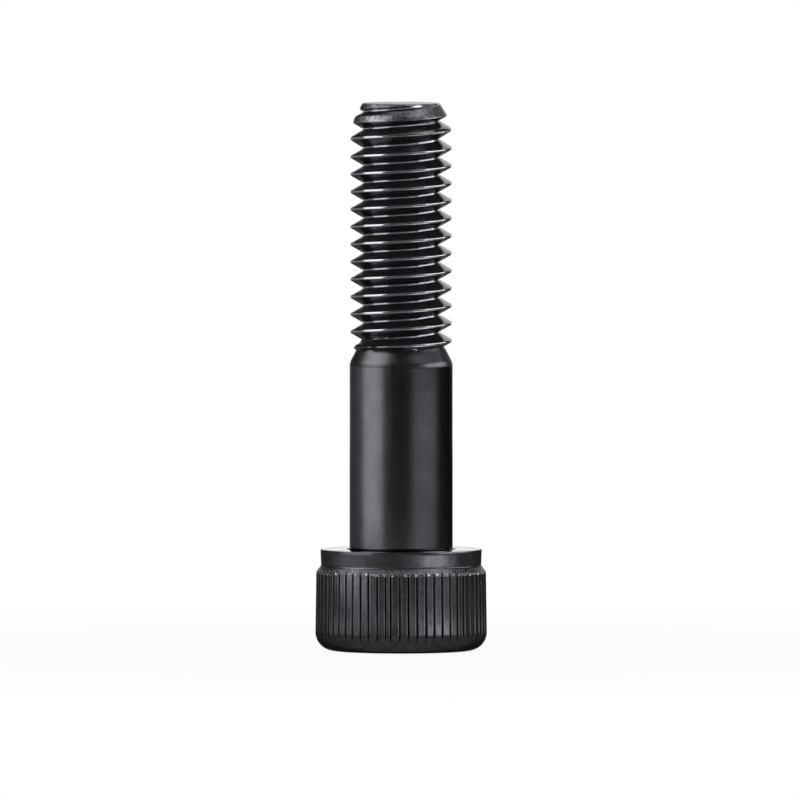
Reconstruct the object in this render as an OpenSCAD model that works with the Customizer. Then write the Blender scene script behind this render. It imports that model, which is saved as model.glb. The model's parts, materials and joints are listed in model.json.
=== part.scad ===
// Hexagon socket head cap screw of size M6 by 25, part threaded, with a knurled head.
// One piece of black oxidised steel: a forged blank, a punched socket and a rolled thread.
// It stands on its head. The origin is the centre of the head's end face, and +Z runs to the tip.

/* [Head] */
// Diameter over the lands of the knurl
head_d = 9.8; // [9:0.05:12]
// Height of the head from its end face to its bearing face
head_h = 5.8; // [5:0.1:8]
// Radius of the rounded edge round the end face
head_edge_r = 1.05; // [0.3:0.05:1.5]
// Height of the smooth band below the bearing face
band_h = 0.92; // [0.4:0.02:1.6]
// How far the smooth band lies in from the knurl
band_inset = 0.325; // [0.15:0.005:0.5]
// Height of the slope that leads from the band out to the knurl
band_slope_h = 0.36; // [0.15:0.01:0.6]
// Break of the edge between the band and the bearing face
band_edge = 0.08; // [0.04:0.01:0.2]

/* [Knurl] */
// Number of grooves round the head
knurl_count = 60; // [36:1:80]
// Depth of a groove
knurl_depth = 0.11; // [0.05:0.01:0.14]
// Angle between the walls of a groove
knurl_angle = 60; // [40:1:90]
// Turn of the first groove from the +X direction
knurl_turn = 4; // [0:0.5:9]

/* [Socket] */
// Width of the hexagon across its flats
socket_af = 5; // [4:0.1:5.6]
// Depth of the hexagon below the end face
socket_depth = 3; // [2:0.1:3.6]
// How far the countersunk mouth reaches past the corners of the hexagon
socket_mouth = 0.06; // [0.02:0.01:0.2]
// Angle of the countersunk mouth
socket_mouth_angle = 120; // [90:5:140]
// Depth of the conical floor below the hexagon
socket_floor_h = 0.6; // [0.2:0.05:1]
// Ledge between the flats of the hexagon and the conical floor
socket_ledge = 0.15; // [0.05:0.01:0.5]

/* [Shank] */
// Length from the bearing face to the tip
length = 25.5; // [20:0.1:60]
// Diameter of the plain shank
shank_d = 5.89; // [5.5:0.01:6.4]
// Radius of the fillet between the shank and the bearing face
fillet_r = 0.25; // [0.1:0.05:0.5]
// Angle of the shoulder above the plain shank, from the axis
shoulder_angle = 27; // [15:1:45]
// Radius that rounds the shoulder into the shank
shoulder_r = 0.75; // [0.2:0.05:1]

/* [Thread] */
// Length from the tip to the plain shank, over the thread and the shoulder
thread_length = 14.85; // [8:0.05:16]
// Rise of the thread in one turn
thread_pitch = 1; // [0.75:0.05:1.25]
// How far the crests lie in from the shank
thread_inset = 0.035; // [0:0.005:0.1]
// Angle between the flanks of the thread
thread_angle = 60; // [55:1:60]
// Height above the plain shank at which the crests are gone
runout_z = 0.4; // [0.2:0.05:1]
// Height over which the crests fade out above that
runout_h = 0.6; // [0.2:0.05:2]
// Diameter of the flat end at the tip
tip_d = 4.6; // [3.6:0.05:5]
// Angle of the tip's chamfer, from the axis
tip_angle = 36; // [30:1:50]
// How far the first crest falls short of the others where the chamfer ends
lead_inset = 0.23; // [0.05:0.01:0.3]
// Height over which the crests grow to their full size above the chamfer
lead_h = 1; // [0.5:0.1:3]
// Turn of the crest where it would meet the flat end, from the +X direction
thread_turn = 206; // [0:1:359]

/* [Hidden] */
$fn = 96;
oxide_black = [0.13, 0.13, 0.14];
// Overlap of a cut past the surface that it opens
cut_over = 0.5;

head_r = head_d / 2;
band_r = head_r - band_inset;
band_z = head_h - band_h;
knurl_top_z = band_z - band_slope_h;
socket_flat_r = socket_af / 2;
socket_corner_r = socket_flat_r / cos(30);

shank_r = shank_d / 2;
tip_z = head_h + length;
shoulder_z = tip_z - thread_length;

// The thread is a V with narrow flats on its crest and in its root
crest_r = shank_r - thread_inset;
crest_flat = thread_pitch / 8;
root_flat = thread_pitch / 16;
flank_h = (thread_pitch - crest_flat - root_flat) / 2;
thread_depth = flank_h / tan(thread_angle / 2);
root_r = crest_r - thread_depth;

// The shoulder's cone rises past the roots, so each groove of the thread runs out on it
core_sink = 0.1;
core_r = root_r - core_sink;
core_z = shoulder_z + (shank_r - core_r) / tan(shoulder_angle);

// The thread's skin is a sheet of rows that climb together, one row for each corner of the V
corner_z = [0, root_flat, root_flat + flank_h, root_flat + flank_h + crest_flat];
corner_r = [root_r, root_r, crest_r, crest_r];
corners = len(corner_z);
facets = 48;
sunk_turns = 1;
spare_turns = 1;
turns = ceil(thread_length / thread_pitch) + sunk_turns + spare_turns;
rows = corners * turns;
crest_mid = root_flat + flank_h + crest_flat / 2;
sheet_z = tip_z - crest_mid - thread_pitch * (turns - spare_turns);

// Share of the thread's depth that the crests have at a height
function crest_share(z) = max(0, min(1, (z - shoulder_z - runout_z) / runout_h));

function sheet_point(row, step) =
    let (corner = row % corners)
    let (climb = floor(row / corners) + step / facets)
    let (z = sheet_z + thread_pitch * climb + corner_z[corner])
    let (r = root_r + (corner_r[corner] - root_r) * crest_share(z))
    let (turn = thread_turn + 360 * step / facets)
    [r * cos(turn), r * sin(turn), z];

// Place of a sheet point in the point list. The step after a full turn is the row one pitch higher
function place(row, step) = step < facets ? row * facets + step : place(row + corners, step - facets);

function last_row(step) = step < facets - 1 ? rows - 1 : rows - 1 - corners;

// Plain shank and shoulder, with the fillet on the bearing face, as half a section
module shank_section() {
    tangent = shoulder_r * tan(shoulder_angle / 2);
    difference() {
        polygon([
            [0, 0],
            [shank_r, 0],
            [shank_r, shoulder_z],
            [core_r, core_z],
            [0, core_z],
        ]);
        difference() {
            polygon([
                [shank_r, shoulder_z - tangent],
                [shank_r + cut_over, shoulder_z - tangent],
                [shank_r + cut_over, shoulder_z + tangent * cos(shoulder_angle)],
                [shank_r - tangent * sin(shoulder_angle), shoulder_z + tangent * cos(shoulder_angle)],
            ]);
            translate([shank_r - shoulder_r, shoulder_z - tangent])
                circle(shoulder_r);
        }
    }
    difference() {
        translate([0, head_h - cut_over])
            square([shank_r + fillet_r, fillet_r + cut_over]);
        translate([shank_r + fillet_r, head_h + fillet_r])
            circle(fillet_r);
    }
}

// Head with its rounded end, the slope above the knurl and the smooth band, as half a section
module head_section() {
    difference() {
        polygon([
            [0, 0],
            [head_r, 0],
            [head_r, knurl_top_z],
            [band_r, band_z],
            [band_r, head_h - band_edge],
            [band_r - band_edge, head_h],
            [0, head_h],
        ]);
        difference() {
            translate([head_r - head_edge_r, -cut_over])
                square([head_edge_r + cut_over, head_edge_r + cut_over]);
            translate([head_r - head_edge_r, head_edge_r])
                circle(head_edge_r);
        }
    }
}

// Punched hexagon with a countersunk mouth and a shallow conical floor
module socket_cut() {
    mouth_r = socket_corner_r + socket_mouth;
    mouth_slope = tan(90 - socket_mouth_angle / 2);
    translate([0, 0, -cut_over])
        cylinder(r = socket_corner_r, h = socket_depth + cut_over, $fn = 6);
    translate([0, 0, socket_depth])
        cylinder(r1 = socket_flat_r - socket_ledge, r2 = 0, h = socket_floor_h);
    translate([0, 0, -cut_over])
        cylinder(r1 = mouth_r + cut_over / mouth_slope, r2 = 0, h = cut_over + mouth_r * mouth_slope);
}

// V grooves that run out on the rounded end below and on the slope above
module knurl_cuts() {
    reach = knurl_depth + cut_over;
    half_w = reach * tan(knurl_angle / 2);
    for (groove = [0 : knurl_count - 1])
        rotate([0, 0, knurl_turn + groove * 360 / knurl_count])
            translate([head_r - knurl_depth, 0, 0])
                linear_extrude(band_z)
                    polygon([[0, 0], [reach, -half_w], [reach, half_w]]);
}

// Helical skin closed at both ends on the axis, longer than the thread at either end
module thread_sheet() {
    points = [
        for (row = [0 : rows])
            for (step = [0 : facets - 1])
                sheet_point(row, step)
    ];
    foot = len(points);
    top = foot + 1;
    axis_points = [[0, 0, sheet_z], [0, 0, sheet_z + thread_pitch * turns]];
    skin = [
        for (step = [0 : facets - 1])
            for (row = [0 : last_row(step)])
                each [
                    [place(row, step), place(row + 1, step), place(row + 1, step + 1)],
                    [place(row, step), place(row + 1, step + 1), place(row, step + 1)],
                ]
    ];
    foot_fan = [for (step = [0 : facets - 1]) [foot, place(0, step), place(0, step + 1)]];
    foot_wall = [for (row = [0 : corners - 1]) [foot, place(row + 1, 0), place(row, 0)]];
    top_fan = [
        for (step = [0 : facets - 1])
            [top, place(step < facets - 1 ? rows : rows - corners, step + 1),
                place(step < facets - 1 ? rows : rows - corners, step)]
    ];
    top_wall = [
        for (row = [rows - corners : rows - 1])
            [top, place(row, facets - 1), place(row + 1, facets - 1)]
    ];
    polyhedron(
        concat(points, axis_points),
        concat(skin, foot_fan, foot_wall, top_fan, top_wall)
    );
}

// Rolled thread, cut to the flat end, the chamfer and the growing first crests of the tip
module thread() {
    tip_r = tip_d / 2;
    lead_r = crest_r - lead_inset;
    wide_r = crest_r + lead_inset;
    lead_z = tip_z - (lead_r - tip_r) / tan(tip_angle);
    wide_z = lead_z - 2 * lead_h;
    low_z = sheet_z - cut_over;
    intersection() {
        thread_sheet();
        rotate_extrude()
            polygon([
                [0, low_z],
                [wide_r, low_z],
                [wide_r, wide_z],
                [lead_r, lead_z],
                [tip_r, tip_z],
                [0, tip_z],
            ]);
    }
}

// The whole screw: one forged blank with its socket and knurl, and the rolled thread
module bolt() {
    color(oxide_black) {
        difference() {
            rotate_extrude() {
                head_section();
                shank_section();
            }
            socket_cut();
            knurl_cuts();
        }
        thread();
    }
}

bolt();
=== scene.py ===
import json
import math
import random

import bpy
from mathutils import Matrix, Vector


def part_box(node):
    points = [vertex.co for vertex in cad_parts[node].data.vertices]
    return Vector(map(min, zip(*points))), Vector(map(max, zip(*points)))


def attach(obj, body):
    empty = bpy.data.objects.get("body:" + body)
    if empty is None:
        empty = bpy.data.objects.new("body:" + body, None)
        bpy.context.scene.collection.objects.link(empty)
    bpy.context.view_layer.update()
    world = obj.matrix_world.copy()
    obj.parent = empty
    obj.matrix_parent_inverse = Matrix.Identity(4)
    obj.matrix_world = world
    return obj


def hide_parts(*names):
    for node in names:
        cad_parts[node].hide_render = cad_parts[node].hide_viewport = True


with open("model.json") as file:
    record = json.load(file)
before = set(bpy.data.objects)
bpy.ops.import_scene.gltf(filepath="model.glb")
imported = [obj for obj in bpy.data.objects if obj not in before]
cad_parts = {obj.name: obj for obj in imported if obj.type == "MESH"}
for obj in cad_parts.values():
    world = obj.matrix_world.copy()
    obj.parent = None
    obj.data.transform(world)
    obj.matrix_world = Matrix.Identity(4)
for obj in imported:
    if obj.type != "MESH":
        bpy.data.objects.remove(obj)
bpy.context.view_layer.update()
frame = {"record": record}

# Head: a cup forged from the steel blank, with its end rounded over and straight grooves rolled
# into the side for grip. The tool pushes a low lip of metal up along each groove, and no two
# grooves are quite alike. The whole bolt is then blackened in an oxide bath and oiled.
MM = 0.001
box_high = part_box("bolt")[1]
mounts = {mount["name"]: mount for mount in frame["record"]["mounts"]}
head_r = box_high.x / MM
bearing_z = mounts["bearing_face"]["pos_m"][2] / MM
head_edge_r = 1.05
edge_steps = 18
side_taper = 0.05
side_heights = [1.1, 1.5, 2.2, 2.8, 3.4, 4.0, 4.3, 4.42]
band_h = 0.92
slope_h = 0.36
slope_high_z = bearing_z - band_h
slope_low_z = slope_high_z - slope_h

groove_count = 60
groove_seed = 11
groove_start = -97.1
groove_step = 6.044
groove_wander = 0.22
groove_depth = 0.13
groove_depth_spread = 0.3
groove_depth_range = (-1, 0.4)
lip_w = 0.1
lip_section = [(1.0, 0.0), (0.7, 0.06), (0.5, 0.19)]
land_hollow = 0.01
land_section = [(0.22, 0.9), (0.5, 1.0), (0.78, 0.9)]

oxide_tint = (1.03, 1.0, 1.12)
noise_span = {"From Min": 0.3, "From Max": 0.7}
streak_detail = 3.0
mottle_detail = 4.0
mark_height = 0.00002
finishes = []


def tinted(shade):
    return (*[shade * share for share in oxide_tint], 1.0)


def add_node(tree, kind, inputs, **settings):
    node = tree.nodes.new(kind)
    for setting, value in settings.items():
        setattr(node, setting, value)
    for socket, value in inputs.items():
        if isinstance(value, bpy.types.NodeSocket):
            tree.links.new(value, node.inputs[socket])
        else:
            node.inputs[socket].default_value = value
    return node


# One black oxide with the marks of each tool. Shades are the darkest and the lightest of its mottle,
# stretch counts the tool's marks to a metre along X, Y and Z, and grain those of the mottle. Lay says
# how far the marks spread the gloss round the axis.
def black_oxide(name, shades, roughness, stretch, grain, relief, rim, metal, shine, lay):
    material = bpy.data.materials.new(name)
    material.use_nodes = True
    tree = material.node_tree
    shader = tree.nodes["Principled BSDF"]
    shader.inputs["Metallic"].default_value = metal
    shader.inputs["Specular IOR Level"].default_value = shine
    shader.inputs["Specular Tint"].default_value = (rim, rim, rim, 1.0)
    shader.inputs["Anisotropic"].default_value = lay
    round_axis = add_node(tree, "ShaderNodeTangent", {}, direction_type="RADIAL", axis="Z")
    place = add_node(tree, "ShaderNodeTexCoord", {}, name="place").outputs["Object"]
    scaled = add_node(tree, "ShaderNodeMapping", {"Vector": place, "Scale": stretch})
    marks = {"Vector": scaled.outputs["Vector"], "Scale": 1.0, "Detail": streak_detail}
    streak = add_node(tree, "ShaderNodeTexNoise", marks).outputs["Fac"]
    specks = {"Vector": place, "Scale": grain, "Detail": mottle_detail}
    mottle = add_node(tree, "ShaderNodeTexNoise", specks).outputs["Fac"]
    shade = add_node(tree, "ShaderNodeMapRange", {"Value": mottle, **noise_span})
    colour = add_node(tree, "ShaderNodeValToRGB", {"Fac": shade.outputs["Result"]})
    for element, end_shade in zip(colour.color_ramp.elements, shades):
        element.color = tinted(end_shade)
    rough_span = {"To Min": roughness[0], "To Max": roughness[1]}
    rough = add_node(tree, "ShaderNodeMapRange", {"Value": streak, **noise_span, **rough_span})
    bump = add_node(tree, "ShaderNodeBump", {"Height": streak, "Strength": relief, "Distance": mark_height})
    tree.links.new(round_axis.outputs["Tangent"], shader.inputs["Tangent"])
    tree.links.new(colour.outputs["Color"], shader.inputs["Base Color"])
    tree.links.new(rough.outputs["Result"], shader.inputs["Roughness"])
    tree.links.new(bump.outputs["Normal"], shader.inputs["Normal"])
    finishes.append(material)
    return material


def axis_reach(tree):
    parts = add_node(tree, "ShaderNodeSeparateXYZ", {"Vector": tree.nodes["place"].outputs["Object"]})
    flat = add_node(tree, "ShaderNodeCombineXYZ", {"X": parts.outputs["X"], "Y": parts.outputs["Y"]})
    reach = add_node(tree, "ShaderNodeVectorMath", {0: flat.outputs["Vector"]}, operation="LENGTH")
    return reach.outputs["Value"], parts.outputs["Z"]


def ramp(tree, value, start, end):
    span = {"From Min": start * MM, "From Max": end * MM}
    return add_node(tree, "ShaderNodeMapRange", {"Value": value, **span}).outputs["Result"]


def both(tree, one, other):
    return add_node(tree, "ShaderNodeMath", {0: one, 1: other}, operation="MULTIPLY").outputs["Value"]


def add_wear(material, mask, worn):
    tree = material.node_tree
    base = tree.nodes["Principled BSDF"].inputs["Base Color"]
    layers = {"Factor": mask, "A": base.links[0].from_socket, "B": tinted(worn)}
    blend = add_node(tree, "ShaderNodeMix", layers, data_type="RGBA")
    tree.links.new(blend.outputs["Result"], base)


knurled = black_oxide(
    "knurled_black_oxide",
    shades=(0.048, 0.078),
    roughness=(0.12, 0.16),
    stretch=(14000, 14000, 300),
    grain=3000,
    relief=0.2,
    rim=0.1,
    metal=0.75,
    shine=0.0,
    lay=1.0,
)
# The bottoms of the grooves are painted nearly black as painted shade, and handling rubs the tops of the
# lips
groove_painted_shade = 0.006
groove_shade_sink = (0.02, 0.045)
groove_shade_low = (0.88, 0.95)
lip_rubbed = 0.12
lip_rubbed_sink = (0.004, 0.001)
lip_rubbed_low = (1.4, 1.7)

tree = knurled.node_tree
reach, height = axis_reach(tree)
lean_in = side_taper / (slope_low_z - head_edge_r)
upright = add_node(tree, "ShaderNodeMath", {0: height, 1: lean_in, 2: reach}, operation="MULTIPLY_ADD")
proud = upright.outputs["Value"]
lip_top = head_r + lean_in * head_edge_r
# Painted shade: the sunk bottoms of the grooves are painted nearly black.
sunk = ramp(tree, proud, lip_top - groove_shade_sink[0], lip_top - groove_shade_sink[1])
add_wear(knurled, both(tree, sunk, ramp(tree, height, *groove_shade_low)), groove_painted_shade)
raised = ramp(tree, proud, lip_top - lip_rubbed_sink[0], lip_top - lip_rubbed_sink[1])
add_wear(knurled, both(tree, raised, ramp(tree, height, *lip_rubbed_low)), lip_rubbed)

points = []
faces = []
face_finish = []


def add_ring(angles, radii, heights):
    first = len(points)
    for angle, radius, height in zip(angles, radii, heights):
        points.append((radius * math.cos(angle) * MM, radius * math.sin(angle) * MM, height * MM))
    return list(range(first, len(points)))


def add_face(corners, finish):
    kept = []
    for corner in corners:
        if corner not in kept:
            kept.append(corner)
    if len(kept) > 2:
        faces.append(kept)
        face_finish.append(finish.name)


def join_rings(ring, following, finish):
    count = len(ring)
    for column in range(count):
        after = (column + 1) % count
        add_face([ring[column], ring[after], following[after], following[column]], finish)


def add_rows(ring, rows, make_ring, finish):
    for radius, height in rows:
        following = make_ring(radius, height)
        join_rings(ring, following, finish)
        ring = following
    return ring


def arc_rows(centre_r, centre_z, radius, start, end, steps):
    turns = [start + (end - start) * step / steps for step in range(steps + 1)]
    return [(centre_r + radius * math.cos(turn), centre_z + radius * math.sin(turn)) for turn in turns]


groove_rng = random.Random(groove_seed)
groove_angles = []
groove_depths = []
for groove in range(groove_count):
    groove_angles.append(groove_start + groove_step * groove + groove_rng.uniform(-1, 1) * groove_wander)
    groove_depths.append(groove_depth * (1 + groove_rng.uniform(*groove_depth_range) * groove_depth_spread))

head_angles = []
head_sinks = []
lip = math.degrees(lip_w / head_r)
for groove, centre in enumerate(groove_angles):
    after = groove_angles[groove + 1] if groove + 1 < groove_count else groove_angles[0] + 360
    land = after - centre - 2 * lip
    depth = groove_depths[groove]
    columns = [(centre - lip * side, depth * share) for side, share in lip_section]
    columns.append((centre, depth))
    columns += [(centre + lip * side, depth * share) for side, share in reversed(lip_section)]
    columns += [(centre + lip + land * side, land_hollow * share) for side, share in land_section]
    for angle, sink in columns:
        head_angles.append(math.radians(angle))
        head_sinks.append(sink)
head_count = len(head_angles)


def side_r(height):
    return head_r - side_taper * max(0.0, height - head_edge_r) / (slope_low_z - head_edge_r)


def head_ring(base_r, height):
    radii = [min(base_r, side_r(height) - sink) for sink in head_sinks]
    return add_ring(head_angles, radii, [height] * head_count)


head_rows = arc_rows(head_r - head_edge_r, head_edge_r, head_edge_r, -math.pi / 2, 0.0, edge_steps)
head_rows += [(side_r(height), height) for height in side_heights]
end_ring = head_ring(*head_rows[0])
ring = add_rows(end_ring, head_rows[1:], head_ring, knurled)

# Hexagon socket: punched into the forged end, so its corners are crisp and its floor is a shallow
# cone left by the punch. A countersink round the mouth leads the key in, and the flat of the head's
# end lies round that.
socket_r = 2.5
socket_depth = 3.0
socket_floor_h = 0.6
socket_ledge = 0.15
socket_mouth = 0.06
socket_mouth_slope = math.tan(math.radians(30))
hexagon_side = math.radians(60)

sheared = black_oxide(
    "sheared_black_oxide",
    shades=(0.08, 0.24),
    roughness=(0.2, 0.35),
    stretch=(4000, 900, 4000),
    grain=2500,
    relief=0.3,
    rim=1.0,
    metal=0.97,
    shine=0.5,
    lay=0.0,
)

hexagon = [socket_r / math.cos(angle % hexagon_side - hexagon_side / 2) for angle in head_angles]
mouth_r = socket_r / math.cos(hexagon_side / 2) + socket_mouth
floor_point = len(points)
points.append((0.0, 0.0, (socket_depth + socket_floor_h) * MM))
socket_ring = add_ring(head_angles, [socket_r - socket_ledge] * head_count, [socket_depth] * head_count)
for column in range(head_count):
    add_face([floor_point, socket_ring[(column + 1) % head_count], socket_ring[column]], sheared)
wall_rings = [
    add_ring(head_angles, hexagon, [socket_depth] * head_count),
    add_ring(head_angles, hexagon, [(mouth_r - flat) * socket_mouth_slope for flat in hexagon]),
    add_ring(head_angles, [mouth_r] * head_count, [0.0] * head_count),
]
for following in wall_rings:
    join_rings(socket_ring, following, sheared)
    socket_ring = following
join_rings(socket_ring, end_ring, knurled)

# Slope: the ragged step where the knurling tool stops. The steel is pushed up there in small burrs,
# and the tops of those by the knurl are painted light in spots: rubbed steel and painted glints.
band_inset = 0.325
band_r = head_r - band_inset
slope_shares = [0.2, 0.3, 0.4, 0.5, 0.6, 0.7, 0.8]
corner_r = 0.1
corner_steps = 5

swaged = black_oxide(
    "swaged_black_oxide",
    shades=(0.02, 0.15),
    roughness=(0.22, 0.36),
    stretch=(11000, 11000, 11000),
    grain=9000,
    relief=1.0,
    rim=0.6,
    metal=0.7,
    shine=0.2,
    lay=0.0,
)
burr_h = 0.1
burr_wear_and_glint = 0.75
burr_noise = {"Scale": 5200.0, "Detail": 2.0}
burr_span = {"From Min": 0.57, "From Max": 0.7}

tree = swaged.node_tree
height = axis_reach(tree)[1]
by_knurl = ramp(tree, height, slope_low_z + burr_h, slope_low_z)
burrs = {"Vector": tree.nodes["place"].outputs["Object"], **burr_noise}
burr_tops = {"Value": add_node(tree, "ShaderNodeTexNoise", burrs).outputs["Fac"], **burr_span}
rubbed_glints = add_node(tree, "ShaderNodeMapRange", burr_tops).outputs["Result"]
# Partly wear, partly painted glints: light spots on the burr tops next to the knurl.
add_wear(swaged, both(tree, by_knurl, rubbed_glints), burr_wear_and_glint)

slope_foot_r = side_r(slope_low_z)
slope_turn = math.atan2(slope_foot_r - band_r, slope_h)
corner_reach = corner_r * math.tan(slope_turn / 2)
slope_rows = arc_rows(
    slope_foot_r - corner_r, slope_low_z - corner_reach, corner_r, 0.0, slope_turn, corner_steps
)
for share in slope_shares:
    slope_rows.append((slope_foot_r + (band_r - slope_foot_r) * share, slope_low_z + slope_h * share))
ring = add_rows(ring, slope_rows, head_ring, swaged)

# Smooth band: the collar under the bearing face, turned on a lathe after forging. It leans out by a
# hair towards the bearing face, and its upper edge is broken so that it does not cut.
band_lean = 0.035
band_drops = [0.78, 0.6, 0.4, 0.2]
band_edge = 0.03
band_edge_bow = 0.3

turned = black_oxide(
    "turned_black_oxide",
    shades=(0.05, 0.07),
    roughness=(0.18, 0.22),
    stretch=(400, 400, 16000),
    grain=3000,
    relief=0.04,
    rim=0.4,
    metal=0.75,
    shine=0.0,
    lay=0.7,
)

band_rows = arc_rows(
    band_r + corner_r, slope_high_z + corner_reach, corner_r, math.pi + slope_turn, math.pi, corner_steps
)
for drop in [*band_drops, band_edge]:
    band_rows.append((band_r + band_lean * (1 - drop / band_h), bearing_z - drop))
band_top_r = band_r + band_lean
band_rows.append((band_top_r - band_edge * band_edge_bow, bearing_z - band_edge * band_edge_bow))
band_rows.append((band_top_r - band_edge, bearing_z))
ring = add_rows(ring, band_rows, head_ring, turned)

# Bearing face: the flat ring that presses on the clamped part, faced square to the shank. It is the
# smoothest surface of the bolt.
face_r = 3.6
face_inner_r = 3.15
shank_count = 150

faced = black_oxide(
    "faced_black_oxide",
    shades=(0.28, 0.34),
    roughness=(0.08, 0.12),
    stretch=(400, 400, 16000),
    grain=3000,
    relief=0.05,
    rim=1.0,
    metal=1.0,
    shine=0.5,
    lay=0.0,
)

face_ring = add_ring(head_angles, [face_r] * head_count, [bearing_z] * head_count)
join_rings(ring, face_ring, faced)
shank_angles = [head_angles[0] + math.tau * column / shank_count for column in range(shank_count)]
ring = add_ring(shank_angles, [face_inner_r] * shank_count, [bearing_z] * shank_count)
share_count = head_count // shank_count
half = share_count // 2
for column in range(shank_count):
    near = ring[column]
    far = ring[(column + 1) % shank_count]
    outer = [face_ring[(share_count * column + step) % head_count] for step in range(share_count + 1)]
    for step in range(half):
        add_face([outer[step], outer[step + 1], near], faced)
    add_face([outer[half], far, near], faced)
    for step in range(half, share_count):
        add_face([outer[step], outer[step + 1], far], faced)

# Shank: drawn wire, left plain and smooth between the head and the thread. A small fillet joins it
# to the bearing face, and that corner is painted dark as painted shade.
shank_r = mounts["shank"]["dims"]["r_mm"]
shank_heights = [5.94, 6.4, 8.0, 10.0, 12.0, 14.0, 15.6, 16.22]
fillet_r = 0.1
fillet_steps = 6

drawn = black_oxide(
    "drawn_black_oxide",
    shades=(0.067, 0.083),
    roughness=(0.16, 0.2),
    stretch=(5000, 5000, 900),
    grain=900,
    relief=0.1,
    rim=0.5,
    metal=0.97,
    shine=0.5,
    lay=1.0,
)
foot_painted_shade = 0.003
foot_shade_h = (0.17, 0.07)

tree = drawn.node_tree
height = axis_reach(tree)[1]
# Painted shade: the foot of the shank next to the bearing face is painted nearly black.
add_wear(drawn, ramp(tree, height, bearing_z + foot_shade_h[0], bearing_z + foot_shade_h[1]), foot_painted_shade)


def shank_ring(radius, height):
    return add_ring(shank_angles, [radius] * shank_count, [height] * shank_count)


shank_rows = arc_rows(
    shank_r + fillet_r, bearing_z + fillet_r, fillet_r, -math.pi / 2, -math.pi, fillet_steps
)
shank_rows += [(shank_r, height) for height in shank_heights]
ring = add_rows(ring, shank_rows, shank_ring, drawn)

# Shoulder: above the shank the blank is pressed down to a smaller size, ready for the rolling of the
# thread. It is rounded where it leaves the shank, and duller than the drawn wire.
shoulder_z = 16.45
shoulder_slope = math.radians(27)
shoulder_r = 0.75
shoulder_steps = 8
shoulder_foot_z = 16.84

reduced = black_oxide(
    "reduced_black_oxide",
    shades=(0.046, 0.058),
    roughness=(0.3, 0.36),
    stretch=(5000, 5000, 900),
    grain=900,
    relief=0.1,
    rim=0.5,
    metal=0.97,
    shine=0.5,
    lay=0.0,
)


def shoulder_cone(height):
    return shank_r - (height - shoulder_z) * math.tan(shoulder_slope)


shoulder_low_z = shoulder_z - shoulder_r * math.tan(shoulder_slope / 2)
shoulder_rows = arc_rows(
    shank_r - shoulder_r, shoulder_low_z, shoulder_r, 0.0, shoulder_slope, shoulder_steps
)
shoulder_rows.append((shoulder_cone(shoulder_foot_z), shoulder_foot_z))
ring = add_rows(ring, shoulder_rows[:1], shank_ring, drawn)
foot_ring = add_rows(ring, shoulder_rows[1:], shank_ring, reduced)

# Thread: rolled, not cut, so the metal of the roots is pressed up into the crests and both come out
# burnished and slightly round. The first turns grow out of the chamfer at the sheared tip, and the
# last groove runs out on the shoulder.
tip_z = box_high.z / MM
thread_pitch = 1.0
thread_turn = math.radians(206)
thread_inset = 0.035
crest_r = shank_r - thread_inset
crest_flat = thread_pitch / 8
root_flat = thread_pitch / 32
flank_tan = math.tan(math.radians(30))
root_r = crest_r - (thread_pitch - crest_flat - root_flat) / 2 / flank_tan
crest_round = 0.04
root_round = 0.03
root_sink = root_round / 8
runout_low = 0.4
runout_h = 0.6
tip_r = 2.2
tip_slope = math.tan(math.radians(31.4))
tip_break = 0.02
rim_z = tip_z - tip_break
lead_inset = 0.26
lead_h = 1.0
lead_round = 0.02
lead_lean = 0.075
lead_lean_z = 2.5
lead_lean_h = 0.9
row_gaps = [0.025, 0.045, 0.062, 0.085, 0.12, 0.2, 0.3, 0.4, 0.44, 0.465, 0.48, 0.49]
sunk_turns = 2
spare_turns = 3
touch = 1e-6

rolled = black_oxide(
    "rolled_black_oxide",
    shades=(0.066, 0.09),
    roughness=(0.12, 0.18),
    stretch=(3000, 3000, 9000),
    grain=2500,
    relief=0.1,
    rim=1.0,
    metal=0.88,
    shine=0.3,
    lay=0.0,
)
chamfered = black_oxide(
    "chamfered_black_oxide",
    shades=(0.05, 0.165),
    roughness=(0.34, 0.46),
    stretch=(1500, 1500, 14000),
    grain=4000,
    relief=0.4,
    rim=0.9,
    metal=0.97,
    shine=0.5,
    lay=0.0,
)
crest_burnish = 0.31
crest_burnish_sink = (0.014, 0.003)
root_burnish = 0.48
root_burnish_rise = (0.05, 0.015)

tree = rolled.node_tree
reach = axis_reach(tree)[0]
crests = ramp(tree, reach, crest_r - crest_burnish_sink[0], crest_r - crest_burnish_sink[1])
add_wear(rolled, crests, crest_burnish)
roots = ramp(tree, reach, root_r + root_burnish_rise[0], root_r + root_burnish_rise[1])
add_wear(rolled, roots, root_burnish)


def ease(share):
    share = max(0.0, min(1.0, share))
    return share * share * (3 - 2 * share)


def soft_min(one, other, width):
    near = max(width - abs(one - other), 0.0) / width
    return min(one, other) - near * near * width / 4


def soft_max(one, other, width):
    return -soft_min(-one, -other, width)


def lead_radius(height):
    lead_r = crest_r - lead_inset
    lead_z = tip_z - (lead_r - tip_r) / tip_slope
    steep = tip_r + (tip_z - height) * tip_slope
    shallow = lead_r + (lead_z - height) * lead_inset / lead_h
    return soft_min(steep, shallow, lead_round)


def thread_radius(height, angle):
    lean = lead_lean * ease((height - tip_z + lead_lean_z) / lead_lean_h)
    turns = (height - lean - tip_z) / thread_pitch - (angle - thread_turn) / math.tau
    gap = abs(turns - round(turns)) * thread_pitch
    flank = root_r + (thread_pitch / 2 - root_flat / 2 - gap) / flank_tan
    profile = soft_min(soft_max(flank, root_r - root_sink, root_round), crest_r, crest_round)
    grown = max(0.0, min(1.0, (height - shoulder_z - runout_low) / runout_h))
    profile = root_r + (profile - root_r) * grown
    return max(shoulder_cone(height), soft_min(profile, lead_radius(height), lead_round))


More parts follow.
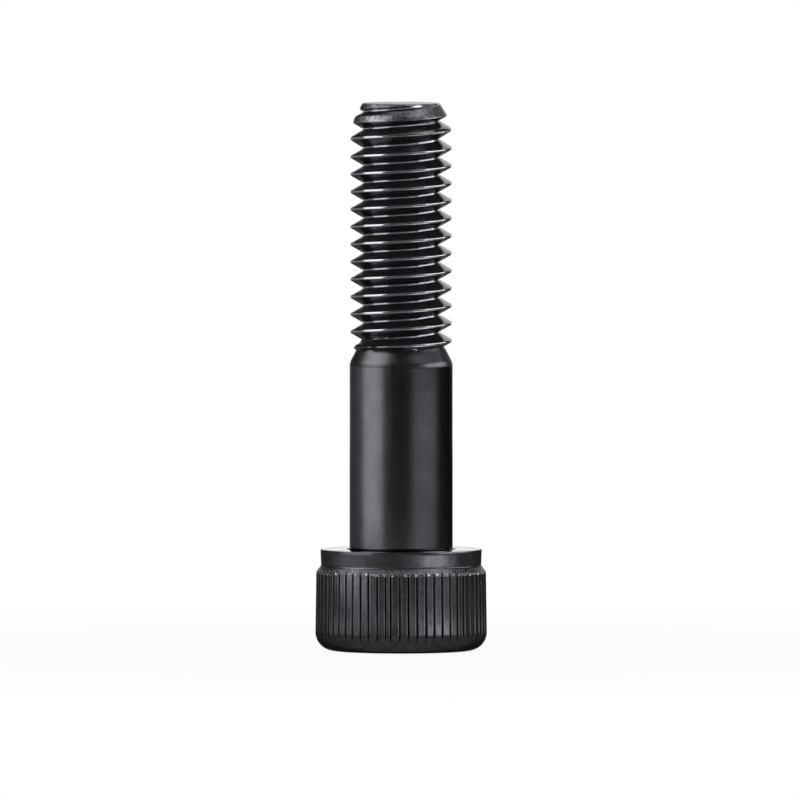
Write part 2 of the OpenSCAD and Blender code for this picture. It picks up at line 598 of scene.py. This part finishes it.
rim_radii = [thread_radius(rim_z, angle) for angle in shank_angles]
rim_ring = add_ring(shank_angles, rim_radii, [rim_z] * shank_count)
rows = [0.0, *row_gaps, thread_pitch / 2, *[thread_pitch - gap for gap in reversed(row_gaps)]]
crest_start = tip_z + (shank_angles[0] - thread_turn) / math.tau * thread_pitch
turns_down = math.ceil((crest_start - shoulder_foot_z) / thread_pitch) + sunk_turns
row_count = len(rows) * (turns_down + spare_turns)
sheet = []
on_shoulder = set(foot_ring)
on_chamfer = set(rim_ring)
for row in range(row_count):
    level = crest_start + thread_pitch * (row // len(rows) - turns_down) + rows[row % len(rows)]
    line = []
    for column, angle in enumerate(shank_angles):
        height = level + thread_pitch * column / shank_count
        if height <= shoulder_foot_z + touch:
            line.append(foot_ring[column])
        elif height >= rim_z - touch:
            line.append(rim_ring[column])
        else:
            radius = thread_radius(height, angle)
            line += add_ring([angle], [radius], [height])
            if radius == shoulder_cone(height):
                on_shoulder.add(line[-1])
            if radius > lead_radius(height) - lead_round:
                on_chamfer.add(line[-1])
    sheet.append(line)
for row in range(row_count - len(rows) - 1):
    for column in range(shank_count):
        if column + 1 < shank_count:
            after, after_up = sheet[row][column + 1], sheet[row + 1][column + 1]
        else:
            after, after_up = sheet[row + len(rows)][0], sheet[row + len(rows) + 1][0]
        corners = [sheet[row][column], after, after_up, sheet[row + 1][column]]
        if on_shoulder.issuperset(corners):
            add_face(corners, reduced)
        elif on_chamfer.issuperset(corners):
            add_face(corners, chamfered)
        else:
            add_face(corners, rolled)

# End face: where the blank was sheared from the wire, flat inside the rim of the chamfer. With it
# the skin of the bolt is closed. Head, shank and thread are one forging, so they are one piece.
end_shares = [0.985, 0.8, 0.5, 0.25]
crease_angle = math.radians(38)

ring = rim_ring
for share in end_shares:
    following = add_ring(shank_angles, [radius * share for radius in rim_radii], [tip_z] * shank_count)
    join_rings(ring, following, sheared)
    ring = following
end_point = len(points)
points.append((0.0, 0.0, tip_z * MM))
for column in range(shank_count):
    add_face([ring[column], ring[(column + 1) % shank_count], end_point], sheared)

mesh = bpy.data.meshes.new("bolt_skin")
mesh.from_pydata(points, [], faces)
for material in finishes:
    mesh.materials.append(material)
finish_number = {material.name: number for number, material in enumerate(finishes)}
for polygon, finish in zip(mesh.polygons, face_finish):
    polygon.material_index = finish_number[finish]
    polygon.use_smooth = True
mesh.set_sharp_from_angle(angle=crease_angle)
bolt = bpy.data.objects.new("bolt_skin", mesh)
bpy.context.scene.collection.objects.link(bolt)
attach(bolt, "root")
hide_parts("bolt")

# Floor: white paper that glows for the rays that see it, so that it is white and still takes the
# bolt's shadow. It is open from below, so that the socket can be looked into.
floor_half = 0.5
floor_z = -0.00005
floor_corners = [(-1, -1), (1, -1), (1, 1), (-1, 1)]
paper_shade = (0.85, 0.85, 0.85, 1.0)
white = (1.0, 1.0, 1.0, 1.0)
floor_glow = (0.93, 1.0)
floor_glow_reach = (0.015, 0.06)


def seen_rays(tree):
    rays = add_node(tree, "ShaderNodeLightPath", {}).outputs
    straight = {0: rays["Is Camera Ray"], 1: rays["Is Glossy Ray"]}
    first = add_node(tree, "ShaderNodeMath", straight, operation="MAXIMUM")
    through = {0: first.outputs["Value"], 1: rays["Is Transmission Ray"]}
    return add_node(tree, "ShaderNodeMath", through, operation="MAXIMUM").outputs["Value"]


white_paper = bpy.data.materials.new("white_paper")
white_paper.use_nodes = True
tree = white_paper.node_tree
tree.nodes.remove(tree.nodes["Principled BSDF"])
paper = add_node(tree, "ShaderNodeBsdfDiffuse", {"Color": paper_shade})
glow = add_node(tree, "ShaderNodeEmission", {"Color": white, "Strength": 1.0})
where = add_node(tree, "ShaderNodeNewGeometry", {}).outputs
reach = add_node(tree, "ShaderNodeVectorMath", {0: where["Position"]}, operation="LENGTH")
glow_span = {
    "Value": reach.outputs["Value"],
    "From Min": floor_glow_reach[0],
    "From Max": floor_glow_reach[1],
    "To Min": floor_glow[0],
    "To Max": floor_glow[1],
}
burnt = add_node(tree, "ShaderNodeMapRange", glow_span).outputs["Result"]
lit = {"Fac": both(tree, seen_rays(tree), burnt), 1: paper.outputs["BSDF"], 2: glow.outputs["Emission"]}
upper = add_node(tree, "ShaderNodeMixShader", lit)
open_below = add_node(tree, "ShaderNodeBsdfTransparent", {})
sides = {"Fac": where["Backfacing"], 1: upper.outputs["Shader"], 2: open_below.outputs["BSDF"]}
one_sided = add_node(tree, "ShaderNodeMixShader", sides)
tree.links.new(one_sided.outputs["Shader"], tree.nodes["Material Output"].inputs["Surface"])

floor_mesh = bpy.data.meshes.new("floor")
floor_points = [(side * floor_half, end * floor_half, floor_z) for side, end in floor_corners]
floor_mesh.from_pydata(floor_points, [], [(0, 1, 2, 3)])
floor_mesh.materials.append(white_paper)
floor = bpy.data.objects.new("floor", floor_mesh)
bpy.context.scene.collection.objects.link(floor)

# Room: white wherever it is seen, straight or in a reflection, and nearly dark as a light, so that
# the lamps alone set how bright the bolt is.
room_light = 0.08

world = bpy.data.worlds.new("studio")
bpy.context.scene.world = world
world.use_nodes = True
tree = world.node_tree
dim = tree.nodes["Background"]
dim.inputs["Color"].default_value = white
dim.inputs["Strength"].default_value = room_light
bright = add_node(tree, "ShaderNodeBackground", {"Color": white, "Strength": 1.0})
walls = {"Fac": seen_rays(tree), 1: dim.outputs["Background"], 2: bright.outputs["Background"]}
room = add_node(tree, "ShaderNodeMixShader", walls)
tree.links.new(room.outputs["Shader"], tree.nodes["World Output"].inputs["Surface"])

# Lamps: large soft boxes in front, behind and overhead give the plain light. The front and back ones
# do not show in the gloss of the steel, where the cards below are seen instead.
middle = Vector((0.0, 0.0, tip_z / 2 * MM))


def outward(azimuth, elevation):
    across = math.radians(azimuth)
    up = math.radians(elevation)
    return Vector((math.sin(across) * math.cos(up), -math.cos(across) * math.cos(up), math.sin(up)))


def soft_box(name, azimuth, elevation, distance, size, brightness, in_gloss):
    lamp = bpy.data.lights.new(name, "AREA")
    lamp.shape = "RECTANGLE"
    lamp.size = size
    lamp.size_y = size
    lamp.energy = brightness * math.pi * size * size
    placed = bpy.data.objects.new(name, lamp)
    placed.location = middle + outward(azimuth, elevation) * distance
    placed.rotation_mode = "QUATERNION"
    placed.rotation_quaternion = (-outward(azimuth, elevation)).to_track_quat("-Z", "Y")
    placed.visible_camera = False
    placed.visible_glossy = in_gloss
    bpy.context.scene.collection.objects.link(placed)


soft_box("front_soft_box", azimuth=0, elevation=20, distance=0.5, size=0.3, brightness=7.0, in_gloss=False)
soft_box("back_soft_box", azimuth=180, elevation=25, distance=0.5, size=0.3, brightness=4.0, in_gloss=False)
soft_box("top_soft_box", azimuth=0, elevation=90, distance=0.3, size=0.2, brightness=1.0, in_gloss=True)

# Cards: bright and dark sheets that stand in a ring round the bolt and lie on the floor and under the
# ceiling. Only the gloss of the steel sees them, and they give it the long highlights and black edges
# of a dark turned part between soft boxes.
card_r = 0.25
card_steps = 24
floor_card_z = 0.0002
ceiling_z = 0.6


def card(name, left, right, edges, shade):
    turns = [left + (right - left) * step / card_steps for step in range(card_steps + 1)]
    corners = []
    for reach, height in edges:
        corners += [outward(turn, 0) * reach + Vector((0, 0, height)) for turn in turns]
    count = len(turns)
    strips = [(side, side + 1, count + side + 1, count + side) for side in range(card_steps)]
    sheet_mesh = bpy.data.meshes.new(name)
    sheet_mesh.from_pydata(corners, [], strips)
    paint = bpy.data.materials.new(name)
    paint.use_nodes = True
    tree = paint.node_tree
    tree.nodes.remove(tree.nodes["Principled BSDF"])
    glow = add_node(tree, "ShaderNodeEmission", {"Strength": shade})
    tree.links.new(glow.outputs["Emission"], tree.nodes["Material Output"].inputs["Surface"])
    sheet_mesh.materials.append(paint)
    placed = bpy.data.objects.new(name, sheet_mesh)
    placed.visible_camera = False
    placed.visible_diffuse = False
    placed.visible_shadow = False
    bpy.context.scene.collection.objects.link(placed)


def stand_cards(cards):
    for name, left, right, low, high, shade in cards:
        card(name, left, right, [(card_r, low), (card_r, high)], shade)


def lay_cards(cards, height):
    for name, left, right, near, far, shade in cards:
        card(name, left, right, [(near, height), (far, height)], shade)


# Standing: left and right end in degrees from the front, lower and upper edge in metres, brightness
left_cards = [
    ("left_soft_box", -93, -43, 0.0, 0.1, 2.8),
    ("left_high_box", -105, -40, 0.1, 0.33, 5.8),
    ("left_top_flag", -120, -40, 0.33, 0.6, 0.1),
]
round_cards = [
    ("right_low_card", 26, 84, 0.0, 0.006, 1.2),
    ("right_soft_box", 56, 119, 0.03, 0.13, 6.0),
    ("right_side_flag", 56, 119, 0.006, 0.03, 0.04),
    ("right_high_box", 30, 100, 0.18, 0.33, 0.8),
    ("right_top_box", 50, 125, 0.33, 0.6, 4.0),
    ("right_high_flag", 100, 150, 0.18, 0.33, 0.02),
    ("right_mid_flag", 56, 119, 0.13, 0.18, 0.04),
    ("front_flag", -43, 26, 0.0, 0.18, 0.04),
    ("front_right_flag", 26, 56, 0.006, 0.18, 0.06),
    ("front_high_flag", -40, 30, 0.18, 0.6, 0.03),
    ("right_low_flag", 84, 160, 0.0, 0.006, 0.02),
    ("right_back_flag", 119, 150, 0.006, 0.18, 0.02),
    ("left_low_card", -160, -93, 0.0, 0.05, 0.35),
    ("left_mid_flag", -172, -93, 0.05, 0.1, 0.03),
    ("left_high_flag", -178, -105, 0.1, 0.5, 0.02),
]
# Lying: left and right end in degrees from the front, near and far edge in metres, brightness
ceiling_cards = [("top_flag", -180, 180, 0.001, 0.26, 0.12)]
floor_cards = [
    ("near_floor_flag", -180, 180, 0.0005, 0.03, 0.3),
    ("left_band_card", -95, -52, 0.03, 0.062, 1.35),
    ("left_inner_band_card", -52, -27, 0.03, 0.062, 0.38),
    ("front_band_card", -27, 7, 0.03, 0.062, 0.04),
    ("right_inner_band_card", 7, 20, 0.03, 0.062, 0.5),
    ("right_near_band_card", 20, 31, 0.03, 0.062, 1.6),
    ("right_band_card", 31, 66, 0.03, 0.062, 5.0),
    ("right_side_band_card", 66, 83, 0.03, 0.062, 1.7),
    ("left_near_card", -62, -14, 0.062, 0.118, 0.85),
    ("left_side_flag", -110, -62, 0.062, 0.118, 0.08),
    ("left_floor_card", -93, -43, 0.118, 0.25, 2.8),
    ("left_back_card", -172, -93, 0.11, 0.25, 0.35),
    ("front_floor_card", -14, 0, 0.062, 0.1, 0.8),
    ("right_near_card", 0, 70, 0.062, 0.1, 1.3),
    ("front_gap_flag", -14, 26, 0.1, 0.11, 0.06),
    ("right_gap_card", 26, 70, 0.1, 0.11, 0.7),
    ("front_far_flag", -43, 26, 0.11, 0.25, 0.06),
    ("right_floor_card", 26, 84, 0.11, 0.25, 0.85),
    ("side_floor_flag", 70, 100, 0.062, 0.11, 0.02),
    ("side_band_flag", 83, 100, 0.03, 0.062, 0.02),
    ("side_far_flag", 84, 100, 0.11, 0.25, 0.02),
    ("back_right_card", 100, 150, 0.03, 0.11, 0.3),
    ("back_floor_flag", 150, 205, 0.03, 0.11, 0.08),
    ("back_left_card", 205, 250, 0.03, 0.11, 0.35),
    ("back_far_flag", 100, 188, 0.11, 0.25, 0.02),
]
stand_cards(left_cards)
lay_cards(ceiling_cards, ceiling_z)
stand_cards(round_cards)
lay_cards(floor_cards, floor_card_z)

# Camera: a long lens almost level with the bolt, as in the photo. The lens follows from the distance
# and from the picture's scale, in pixels to a millimetre.
picture_w = 800
picture_scale = 17.5
view_elevation = 2.5
view_distance = 2.0
sensor_w = 36.0
clip_near = 0.01
clip_far = 20.0
aim_x = -0.065
aim_z = 14.32

aim = Vector((aim_x * MM, 0.0, aim_z * MM))
camera_data = bpy.data.cameras.new("camera")
camera_data.sensor_width = sensor_w
camera_data.lens = sensor_w * view_distance / (picture_w / picture_scale * MM)
camera_data.clip_start = clip_near
camera_data.clip_end = clip_far
camera = bpy.data.objects.new("camera", camera_data)
camera.location = aim + outward(0, view_elevation) * view_distance
camera.rotation_mode = "QUATERNION"
camera.rotation_quaternion = (-outward(0, view_elevation)).to_track_quat("-Z", "Y")
bpy.context.scene.collection.objects.link(camera)
bpy.context.scene.camera = camera
bpy.context.scene.view_settings.view_transform = "Standard"
